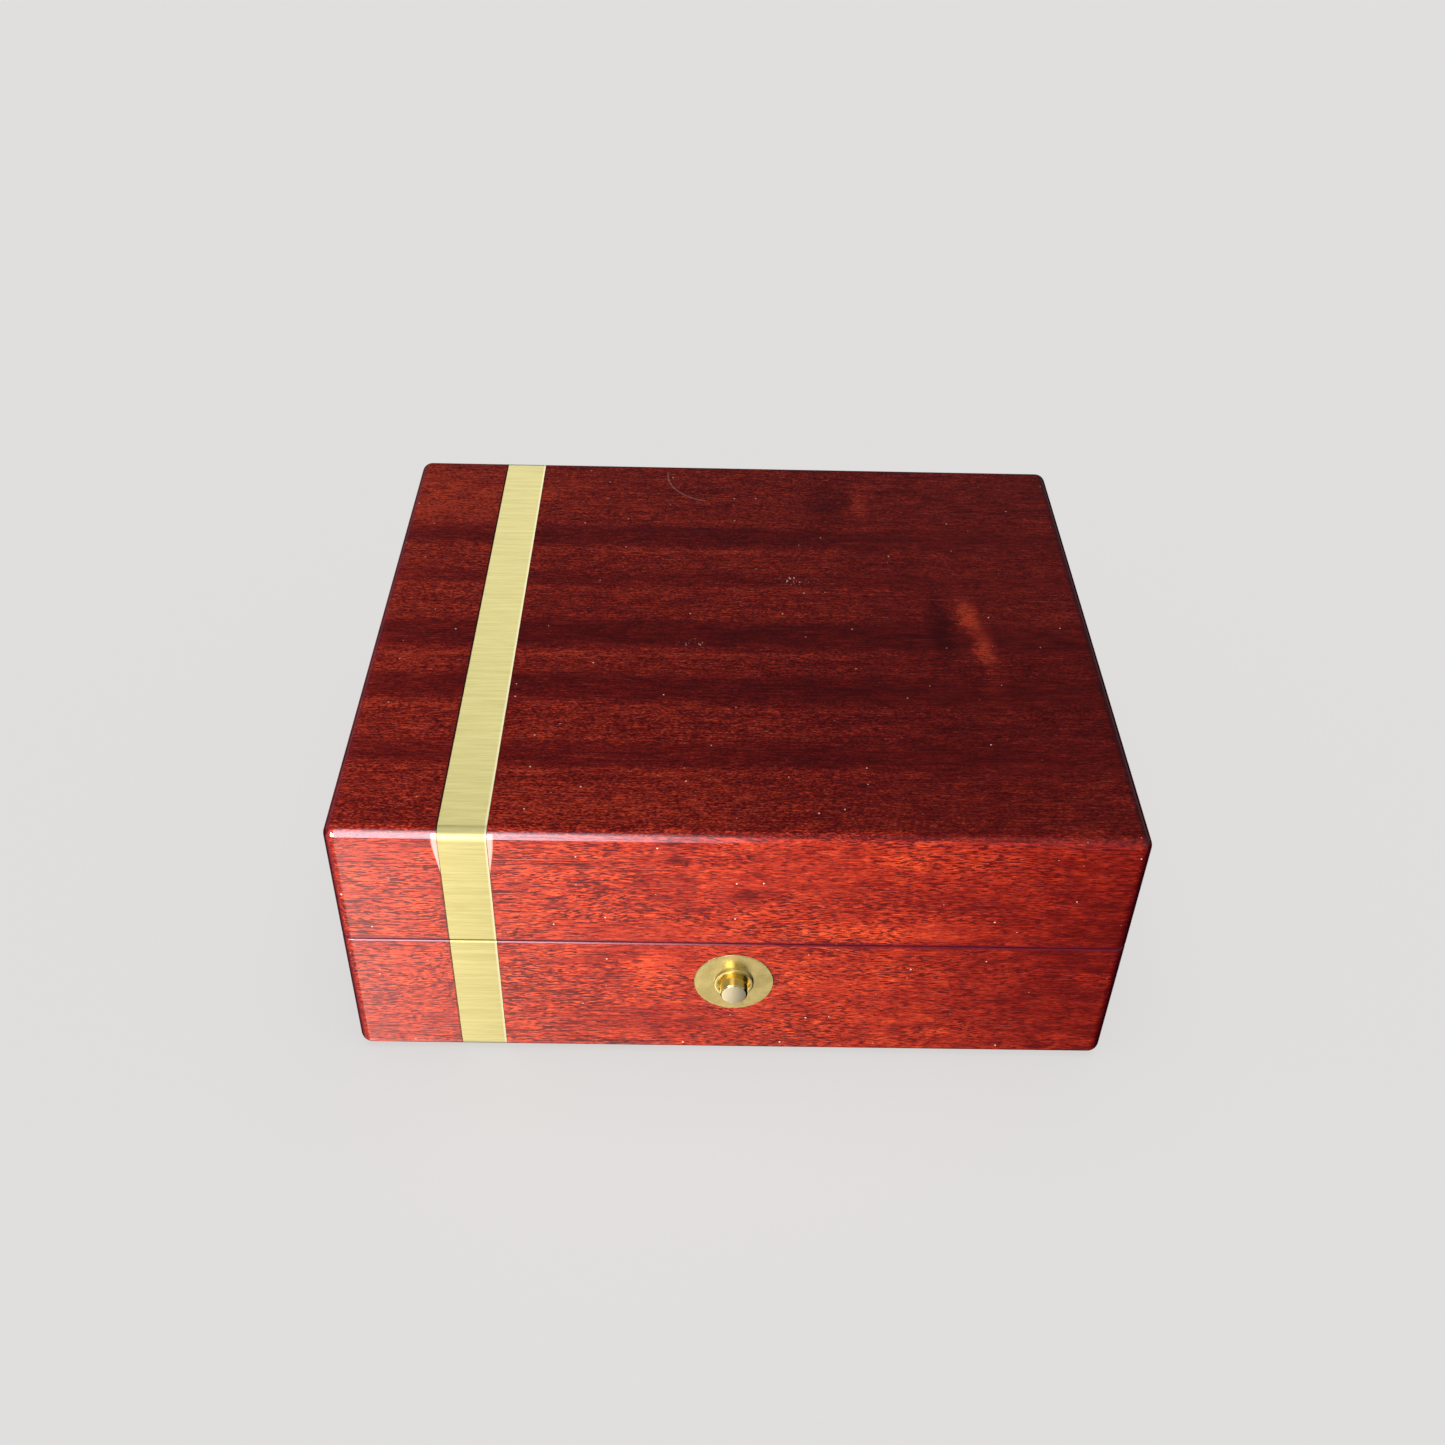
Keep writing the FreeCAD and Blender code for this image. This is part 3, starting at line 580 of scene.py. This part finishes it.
def brushedBrass(name, s):
    material, tree, shader = newMaterial(name, {
        "Metallic": 1.0, "Roughness": s["roughness"], "Coat Weight": s["coat"],
        "Coat Roughness": s["coatRoughness"]})
    space = inMillimetres(tree)
    brush = noiseAt(tree, stretched(tree, space, s["brush"]), 1.0, 3.0, 0.75)
    streaks = noiseAt(tree, stretched(tree, space, s["streaks"]), 1.0, 2.0, 0.6)
    lines = plus(tree, times(tree, brush, s["brushShare"]), times(tree, streaks, 1 - s["brushShare"]))
    color = colorStops(tree, lines, [(0.38, s["deep"]), (0.60, s["pale"])])
    # painted highlight: a paler line along the band's right edge, where the edge catches the light
    fromRight = minus(tree, bandHigh.x / mm, split(tree, space)[0])
    rim = ramped(tree, fromRight, *s["rimWidth"], s["rimShare"], 0.0)
    color = blendColor(tree, rim, color, (*s["rim"], 1))
    tree.links.new(color, shader.inputs["Base Color"])
    tree.links.new(bumped(tree, brush, 0.15, 0.06 * mm), shader.inputs["Normal"])
    return material


fittingLook = {"color": (0.86, 0.70, 0.32), "shade": (0.78, 0.61, 0.25), "roughness": 0.32,
               "grain": (0.25, 9.0, 9.0)}
rosetteLook = {"color": (0.95, 0.80, 0.34), "shade": (0.86, 0.69, 0.26), "roughness": 0.30,
               "grain": (6.0, 6.0, 0.5)}
buttonLook = {"color": (0.93, 0.76, 0.34), "shade": (0.84, 0.64, 0.24), "roughness": 0.12,
              "grain": (2.0, 2.0, 2.0),
              "face": {"from": buttonFace / mm + 0.32, "to": buttonFace / mm + 0.32 - 0.12, "share": 0.9,
                       "color": (0.80, 0.72, 0.53), "roughness": 0.50}}
steelLook = {"color": (0.66, 0.66, 0.65), "shade": (0.50, 0.50, 0.50), "roughness": 0.34,
             "grain": (0.3, 6.0, 6.0)}


def turnedMetal(name, s):
    material, tree, shader = newMaterial(name, {"Metallic": 1.0, "Roughness": s["roughness"]})
    space = inMillimetres(tree)
    scratches = noiseAt(tree, stretched(tree, space, s["grain"]), 1.0, 2.0)
    tarnish = noiseAt(tree, stretched(tree, space, (0.25, 0.25, 0.25)), 1.0, 3.0, 0.6)
    share = plus(tree, times(tree, scratches, 0.5), times(tree, tarnish, 0.5))
    color = colorStops(tree, share, [(0.38, s["shade"]), (0.60, s["color"])])
    rough = ramped(tree, tarnish, 0.35, 0.70, s["roughness"] * 0.85, s["roughness"] * 1.3)
    if "face" in s:
        # the face that the finger presses is paler and duller; its pale cream is partly a painted reflection
        # of the bright paper in front
        face = s["face"]
        onFace = ramped(tree, split(tree, space)[1], face["from"], face["to"])
        color = blendColor(tree, times(tree, onFace, face["share"]), color, (*face["color"], 1))
        rough = plus(tree, rough, times(tree, onFace, face["roughness"] - s["roughness"]))
    tree.links.new(color, shader.inputs["Base Color"])
    tree.links.new(rough, shader.inputs["Roughness"])
    tree.links.new(bumped(tree, scratches, 0.03, 0.03 * mm), shader.inputs["Normal"])
    return material


suedeLook = {"color": (0.80, 0.70, 0.53), "shade": (0.66, 0.56, 0.41), "fuzz": 0.5, "grain": 3.5}
undersideLook = {"color": (0.085, 0.045, 0.035), "shade": (0.045, 0.024, 0.020), "fuzz": 0.4, "grain": 1.8}


def suede(name, s):
    material, tree, shader = newMaterial(name, {
        "Roughness": 0.95, "Specular IOR Level": 0.15, "Sheen Weight": s["fuzz"], "Sheen Roughness": 0.5})
    space = inMillimetres(tree)
    nap = noiseAt(tree, space, s["grain"], 4.0, 0.7)
    brushed = noiseAt(tree, stretched(tree, space, (0.05, 0.08, 0.08)), 1.0, 3.0, 0.6, 1.0)
    share = plus(tree, times(tree, nap, 0.5), times(tree, brushed, 0.5))
    color = colorStops(tree, share, [(0.35, s["shade"]), (0.62, s["color"])])
    tree.links.new(color, shader.inputs["Base Color"])
    tree.links.new(bumped(tree, nap, 0.5, 0.2 * mm), shader.inputs["Normal"])
    return material


def threadMaterial(name, color):
    material, tree, shader = newMaterial(name, {"Roughness": 0.6, "Sheen Weight": 0.3})
    space = inMillimetres(tree)
    twist = noiseAt(tree, stretched(tree, space, (6.0, 6.0, 6.0)), 1.0, 1.0)
    dark = tuple(c * 0.7 for c in color)
    tree.links.new(colorStops(tree, twist, [(0.35, dark), (0.65, color)]), shader.inputs["Base Color"])
    tree.links.new(bumped(tree, twist, 0.4, 0.1 * mm), shader.inputs["Normal"])
    return material


def addPiece(name, mesh):
    piece = bpy.data.objects.new(name, mesh)
    bpy.context.scene.collection.objects.link(piece)
    return piece


def plainMesh(piece):
    graph = bpy.context.evaluated_depsgraph_get()
    return bpy.data.meshes.new_from_object(piece.evaluated_get(graph), depsgraph=graph)


def settle(piece):
    # what the modifiers make becomes the piece's own mesh
    mesh = plainMesh(piece)
    piece.modifiers.clear()
    piece.data = mesh


def evenCopy(name, node, voxel, scale=(1, 1, 1), anchor=None):
    # a closed, evenly divided copy of a CAD node, scaled about the anchor
    shape = bmesh.new()
    shape.from_mesh(nodes[node].data)
    bmesh.ops.remove_doubles(shape, verts=shape.verts, dist=1e-6)
    low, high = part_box(node)
    anchor = anchor or (low + high) / 2
    for corner in shape.verts:
        corner.co = Vector([anchor[i] + (corner.co[i] - anchor[i]) * scale[i] for i in range(3)])
    bmesh.ops.recalc_face_normals(shape, faces=shape.faces)
    mesh = bpy.data.meshes.new(name)
    shape.to_mesh(mesh)
    shape.free()
    piece = addPiece(name, mesh)
    even = piece.modifiers.new("even", "REMESH")
    even.mode, even.voxel_size = "VOXEL", voxel
    settle(piece)
    return piece


def corners(mesh):
    places = np.empty(len(mesh.vertices) * 3)
    mesh.vertices.foreach_get("co", places)
    return places.reshape(-1, 3)


def moveCorners(mesh, places):
    mesh.vertices.foreach_set("co", np.ascontiguousarray(places).ravel())
    mesh.update()


def finishSoft(piece, node, body, material):
    piece.data.materials.clear()
    piece.data.materials.append(material)
    for face in piece.data.polygons:
        face.use_smooth = True
    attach(piece, body)
    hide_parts(node)


padLook = {
    "voxel": 2.4 * mm, "narrow": 1.012, "thin": 0.66,     # the shape before it is blown up
    "pressure": 4.0, "steps": 20, "cap": 2.6 * mm,
    "border": 9.0 * mm, "corner": 7.0 * mm,               # the sewn line, in from the pad's outline
    "channel": 1.9 * mm, "depth": 1.1 * mm,
    "full": 4.2 * mm,                                     # times 1.2, the height where the channel is whole
    "wrinkle": 0.10 * mm, "underSkin": 0.02 * mm,
    "mass": 0.15, "stretch": 12, "shear": 6, "bend": 0.6,
}


def blowUp(piece, glued, s):
    # pressure in a closed cloth skin, glued down on its flat side
    start = corners(piece.data)
    skin = piece.vertex_groups.new(name="glued")
    skin.add([int(i) for i in np.nonzero(glued)[0]], 1.0, "REPLACE")
    cloth = piece.modifiers.new("skin", "CLOTH")
    settings = cloth.settings
    settings.quality, settings.mass = 6, s["mass"]
    settings.tension_stiffness = settings.compression_stiffness = s["stretch"]
    settings.shear_stiffness, settings.bending_stiffness = s["shear"], s["bend"]
    settings.use_pressure, settings.uniform_pressure_force = True, s["pressure"]
    settings.effector_weights.gravity = 0
    settings.vertex_group_mass = "glued"
    cloth.point_cache.frame_start, cloth.point_cache.frame_end = 1, s["steps"]
    scene = bpy.context.scene
    for step in range(1, s["steps"] + 1):
        scene.frame_set(step)
    blown = corners(plainMesh(piece))
    piece.modifiers.clear()
    piece.vertex_groups.clear()
    scene.frame_set(1)
    move = blown - start
    length = np.linalg.norm(move, axis=1, keepdims=True)
    move *= np.minimum(1.0, s["cap"] / np.maximum(length, 1e-9))
    reached = round(float(length.max() / mm), 2)
    print("stage:", piece.name, "blown up by", reached, "mm, capped at", round(s["cap"] / mm, 2))
    moveCorners(piece.data, start + move)


def fromSewnLine(x, y, half, s):
    # distance from the rounded rectangle that is sewn along
    qx = np.abs(x) - (half.x - s["border"] - s["corner"])
    qy = np.abs(y) - (half.y - s["border"] - s["corner"])
    outside = np.hypot(np.maximum(qx, 0), np.maximum(qy, 0))
    return outside + np.minimum(np.maximum(qx, qy), 0) - s["corner"]


def puffedPad(name, node, body, flatSide, material, s):
    low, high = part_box(node)
    half = (high - low) / 2
    rest = low.z if flatSide < 0 else high.z
    piece = evenCopy(name, node, s["voxel"], (s["narrow"], s["narrow"], s["thin"]), Vector((0, 0, rest)))
    places = corners(piece.data)
    blowUp(piece, np.abs(places[:, 2] - rest) < 0.5 * mm, s)
    smooth = piece.modifiers.new("round", "SUBSURF")
    smooth.levels = smooth.render_levels = 1
    settle(piece)
    places = corners(piece.data)
    x, y, z = places.T
    rise = (z - rest) * -flatSide                         # height above the glued side
    top = np.clip(rise / s["full"] - 0.2, 0, 1)
    groove = s["depth"] * np.exp(-(fromSewnLine(x, y, half, s) / s["channel"]) ** 2) * top
    wrinkle = s["wrinkle"] * np.sin(x / (3.1 * mm) + 1.7 * np.sin(y / (9 * mm))) * np.sin(y / (3.7 * mm))
    rise = rise - groove + wrinkle * top
    rise = np.clip(rise, 0, (high.z - low.z) - s["underSkin"])
    x, y = np.clip(x, low.x, high.x), np.clip(y, low.y, high.y)
    moveCorners(piece.data, np.column_stack([x, y, rest - flatSide * rise]))
    finishSoft(piece, node, body, material)
    return piece


# The line is looked for from these heights in the hollow, down to the floor pad and up to the ceiling pad.
sewnLook = {"step": 1.5 * mm, "cornerParts": 6, "inside": {-1: 30 * mm, 1: 50 * mm}}


def sewnLoop(piece, half, flatSide, pad, s):
    # points along the sewn line, laid on the pad
    tree = BVHTree.FromObject(piece, bpy.context.evaluated_depsgraph_get())
    radius = pad["corner"]
    innerX, innerY = half.x - pad["border"] - radius, half.y - pad["border"] - radius
    outline = []
    for turn, (signX, signY) in enumerate(((1, 1), (-1, 1), (-1, -1), (1, -1))):
        for k in range(s["cornerParts"] + 1):
            angle = math.pi / 2 * (turn + k / s["cornerParts"])
            outline.append((signX * innerX + radius * math.cos(angle),
                            signY * innerY + radius * math.sin(angle)))
    points = []
    for (ax, ay), (bx, by) in zip(outline, outline[1:] + outline[:1]):
        parts = max(1, round(math.hypot(bx - ax, by - ay) / s["step"]))
        for k in range(parts):
            share = k / parts
            origin = Vector((ax + (bx - ax) * share, ay + (by - ay) * share, s["inside"][flatSide]))
            hit = tree.ray_cast(origin, Vector((0, 0, flatSide)))[0]
            if hit:
                points.append(hit)
    return points


# the lining boards, covered with the same suede
liningLook = {"voxel": 1.15 * mm, "swell": 0.10 * mm, "underSkin": 0.06 * mm}


def coveredBoard(name, node, body, material, s):
    piece = evenCopy(name, node, s["voxel"])
    low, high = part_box(node)
    places = corners(piece.data)
    x, y, z = places.T
    along = x if high.x - low.x > high.y - low.y else y
    wave = np.sin(along / (11 * mm)) * np.sin(z / (6 * mm) + 1.3)
    wave = wave + 0.5 * np.sin(along / (4.3 * mm) + z / (5 * mm))
    normals = np.empty(len(piece.data.vertices) * 3)
    piece.data.vertices.foreach_get("normal", normals)
    places = places + normals.reshape(-1, 3) * (wave * s["swell"] * 0.5 - s["underSkin"])[:, None]
    moveCorners(piece.data, np.clip(places, tuple(low), tuple(high)))
    finishSoft(piece, node, body, material)


stitchLook = {"pitch": 3.4 * mm, "thread": 2.3 * mm, "radius": 0.30 * mm, "stray": 0.10, "seed": 7,
              "segments": 7, "rings": 6, "color": (0.52, 0.35, 0.17),
              "rowEnd": 5 * mm, "rowParts": 40, "rowOut": 0.02 * mm, "rowFromRim": 3.2 * mm}


def stitchTree(material, s):
    tree = bpy.data.node_groups.new("stitchRow", "GeometryNodeTree")
    face = tree.interface
    face.new_socket("Path", in_out="INPUT", socket_type="NodeSocketGeometry")
    for name in ("Pitch", "Thread Length", "Thread Radius", "Stray"):
        face.new_socket(name, in_out="INPUT", socket_type="NodeSocketFloat")
    face.new_socket("Seed", in_out="INPUT", socket_type="NodeSocketInt")
    face.new_socket("Stitches", in_out="OUTPUT", socket_type="NodeSocketGeometry")
    given, result = tree.nodes.new("NodeGroupInput"), tree.nodes.new("NodeGroupOutput")
    path = addNode(tree, "GeometryNodeMeshToCurve", {"Mesh": given.outputs["Path"]})
    even = addNode(tree, "GeometryNodeResampleCurve", {"Curve": path.outputs[0]}, mode="LENGTH")
    tree.links.new(given.outputs["Pitch"], even.inputs["Length"])
    thread = addNode(tree, "GeometryNodeMeshUVSphere", {
        "Segments": s["segments"], "Rings": s["rings"], "Radius": 1.0})
    radius = given.outputs["Thread Radius"]
    size = addNode(tree, "ShaderNodeCombineXYZ", {
        "X": times(tree, given.outputs["Thread Length"], 0.5), "Y": radius, "Z": radius})
    tangent = tree.nodes.new("GeometryNodeInputTangent")
    stray = addNode(tree, "FunctionNodeRandomValue", {
        "Seed": given.outputs["Seed"]}, data_type="FLOAT_VECTOR")
    tree.links.new(times(tree, given.outputs["Stray"], -1.0), stray.inputs[0])
    tree.links.new(given.outputs["Stray"], stray.inputs[1])
    heading = addNode(tree, "ShaderNodeVectorMath", {
        0: tangent.outputs[0], 1: stray.outputs[0]}, operation="ADD")
    turn = addNode(tree, "FunctionNodeAlignRotationToVector", {"Vector": heading.outputs[0]}, axis="X")
    copies = addNode(tree, "GeometryNodeInstanceOnPoints", {
        "Points": even.outputs[0], "Instance": thread.outputs[0], "Rotation": turn.outputs[0],
        "Scale": size.outputs[0]})
    real = addNode(tree, "GeometryNodeRealizeInstances", {"Geometry": copies.outputs[0]})
    colored = addNode(tree, "GeometryNodeSetMaterial", {"Geometry": real.outputs[0], "Material": material})
    tree.links.new(colored.outputs[0], result.inputs[0])
    return tree


def stitchRows(name, paths, body, tree, s):
    # paths are lists of points, each with a flag that says whether it closes
    mesh = bpy.data.meshes.new(name)
    points, edges = [], []
    for path, closed in paths:
        first = len(points)
        points += [tuple(p) for p in path]
        edges += [(first + k, first + k + 1) for k in range(len(path) - 1)]
        if closed:
            edges.append((len(points) - 1, first))
    mesh.from_pydata(points, edges, [])
    piece = addPiece(name, mesh)
    row = piece.modifiers.new("stitches", "NODES")
    row.node_group = tree
    values = {"Pitch": s["pitch"], "Thread Length": s["thread"], "Thread Radius": s["radius"],
              "Stray": s["stray"], "Seed": s["seed"]}
    for item in tree.interface.items_tree:
        if item.name in values:
            row[item.identifier] = values[item.name]
    settle(piece)
    for polygon in piece.data.polygons:
        polygon.use_smooth = True
    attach(piece, body)
    print("stage:", name, len(piece.data.polygons), "faces")


def liningRow(node, height, face, s):
    # a straight row on the inner side of a lining board; face is its outward direction there
    low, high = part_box(node)
    along = 0 if face[1] else 1
    start, end = low[along] + s["rowEnd"], high[along] - s["rowEnd"]
    inner = 1 - along
    depth = (high[inner] if face[inner] > 0 else low[inner]) + s["rowOut"] * face[inner]
    row = []
    for k in range(s["rowParts"] + 1):
        place = start + k * (end - start) / s["rowParts"]
        row.append(Vector((place, depth, height) if along == 0 else (depth, place, height)))
    return row


# the felt that the box stands on
feltLook = {"flat": (0.186, 0.158), "corner": 3.0 * mm, "cells": (46, 39), "fray": 0.10 * mm, "seed": 11}


def makeFelt(material, s):
    low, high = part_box("underside_felt")
    half, r = (high - low) / 2, s["corner"]
    half.x, half.y = half.x - s["fray"], half.y - s["fray"]
    xs, ys = ([-reach, -reach + r * 0.5, *np.linspace(-reach + r, reach - r, count), reach - r * 0.5, reach]
              for reach, count in zip((half.x, half.y), s["cells"]))
    points = []
    for y in ys:
        for x in xs:
            dx, dy = abs(x) - (half.x - r), abs(y) - (half.y - r)
            if dx > 0 and dy > 0:                      # round the corner
                share = max(dx, dy) / math.hypot(dx, dy)
                points.append((math.copysign(half.x - r + dx * share, x),
                               math.copysign(half.y - r + dy * share, y), high.z))
            else:
                points.append((x, y, high.z))
    wide = len(xs)
    faces = [(j * wide + i, j * wide + i + 1, (j + 1) * wide + i + 1, (j + 1) * wide + i)
             for j in range(len(ys) - 1) for i in range(wide - 1)]
    mesh = bpy.data.meshes.new("undersideFelt")
    mesh.from_pydata(points, [], faces)
    piece = addPiece("undersideFelt", mesh)
    thick = piece.modifiers.new("thick", "SOLIDIFY")
    thick.thickness, thick.offset = high.z - low.z, -1
    settle(piece)
    # a cut edge that is a little frayed
    places = corners(piece.data)
    rng = np.random.default_rng(s["seed"])
    edge = (np.abs(places[:, 0]) > half.x - r) | (np.abs(places[:, 1]) > half.y - r)
    places[:, :2] += rng.uniform(-1, 1, (len(places), 2)) * s["fray"] * edge[:, None]
    moveCorners(piece.data, places)
    finishSoft(piece, "underside_felt", "base", material)


def dress(name, material):
    # gives a CAD node one material, and keeps its mesh as it is
    mesh = nodes[name].data
    mesh.materials.clear()
    mesh.materials.append(material)


makeCamera(cameraSettings)
floor = makeFloor(floorSettings)
makeWorld(roomSettings)
print("stage: camera, floor and room")

topWood = mahogany("lacqueredTop", topPanelLook)
frontWood = mahogany("lacqueredFront", frontBoardLook)
sideWood = mahogany("lacqueredSide", sideBoardLook)
floorWood = mahogany("plainPanel", panelLook)
bandBrass = brushedBrass("brushedBand", bandLook)
fittingBrass = turnedMetal("satinFitting", fittingLook)
rosetteBrass = turnedMetal("satinRosette", rosetteLook)
buttonBrass = turnedMetal("polishedButton", buttonLook)
zincSteel = turnedMetal("zincSteel", steelLook)
cloth = suede("ivorySuede", suedeLook)
feltCloth = suede("brownFelt", undersideLook)
thread = threadMaterial("silkThread", stitchLook["color"])
for name in nodes:
    if name == "lid_top_panel":
        dress(name, topWood)
    elif name == "base_floor_panel":
        dress(name, floorWood)
    elif name.endswith("board"):
        dress(name, sideWood if "left" in name or "right" in name else frontWood)
    elif "band" in name:
        dress(name, bandBrass)
    elif "lining" in name or name.endswith("pad") or name == "underside_felt":
        dress(name, feltCloth if name == "underside_felt" else cloth)
    elif name == "push_button":
        dress(name, buttonBrass)
    elif name in ("catch_escutcheon", "catch_bush"):
        dress(name, rosetteBrass)
    elif name in ("button_spring", "latch_slide"):
        dress(name, zincSteel)
    else:
        dress(name, fittingBrass)
print("stage: materials")

floorPad = puffedPad("floorPad", "floor_pad", "base", -1, cloth, padLook)
ceilingPad = puffedPad("ceilingPad", "ceiling_pad", "lid", 1, cloth, padLook)
makeFelt(feltCloth, feltLook)
for body in ("base", "lid"):
    for side in ("front", "back", "left", "right"):
        coveredBoard(body + "Lining" + side.capitalize(), body + "_lining_" + side, body, cloth, liningLook)
print("stage: pads, felt and lining")

rowTree = stitchTree(thread, stitchLook)
facing = {"front": (0, 1), "back": (0, -1), "left": (1, 0), "right": (-1, 0)}
for body, pad, padNode, side, height in (
        ("base", floorPad, "floor_pad", -1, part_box("base_lining_front")[1].z - stitchLook["rowFromRim"]),
        ("lid", ceilingPad, "ceiling_pad", 1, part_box("lid_lining_front")[0].z + stitchLook["rowFromRim"])):
    low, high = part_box(padNode)
    paths = [(sewnLoop(pad, (high - low) / 2, side, padLook, sewnLook), True)]
    for name, way in facing.items():
        paths.append((liningRow(body + "_lining_" + name, height, way, stitchLook), False))
    stitchRows(body + "Stitches", paths, body, rowTree, stitchLook)

shinyBrass = (bandBrass, rosetteBrass, buttonBrass)
onBrass = [nodes[name] for name in nodes if nodes[name].data.materials[0] in shinyBrass]
onBand = [nodes[name] for name in nodes if nodes[name].data.materials[0] is bandBrass]
inShade = [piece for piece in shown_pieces()
           if piece.name.endswith("Stitches") or piece.data.materials[0] in (cloth, fittingBrass)]
inShade += onBrass + [nodes["base_left_board"], nodes["lid_left_board"]]
onBox = [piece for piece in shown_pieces() if piece not in inShade]
linkLight(sunLight("floorLight", lightSettings["floorLight"]), "litFloor", [floor])
linkLight(softbox("overheadSoftbox", lightSettings["overhead"]), "litFromAbove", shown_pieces())
linkLight(softbox("keySoftbox", lightSettings["key"]), "litByKey", onBox)
linkLight(softbox("brassKey", lightSettings["brassKey"]), "litByBrassKey", onBand)
linkLight(softbox("buttonKey", lightSettings["buttonKey"]), "litButton", [nodes["push_button"]])
linkLight(softbox("brassSoftbox", lightSettings["brassLight"]), "litBand", onBand)
linkLight(softbox("brassOverhead", lightSettings["brassTop"]), "litBrassTop", onBrass)
bpy.context.scene.view_settings.view_transform = "Standard"
bpy.context.scene.view_settings.look = "None"
print("stage: lights")
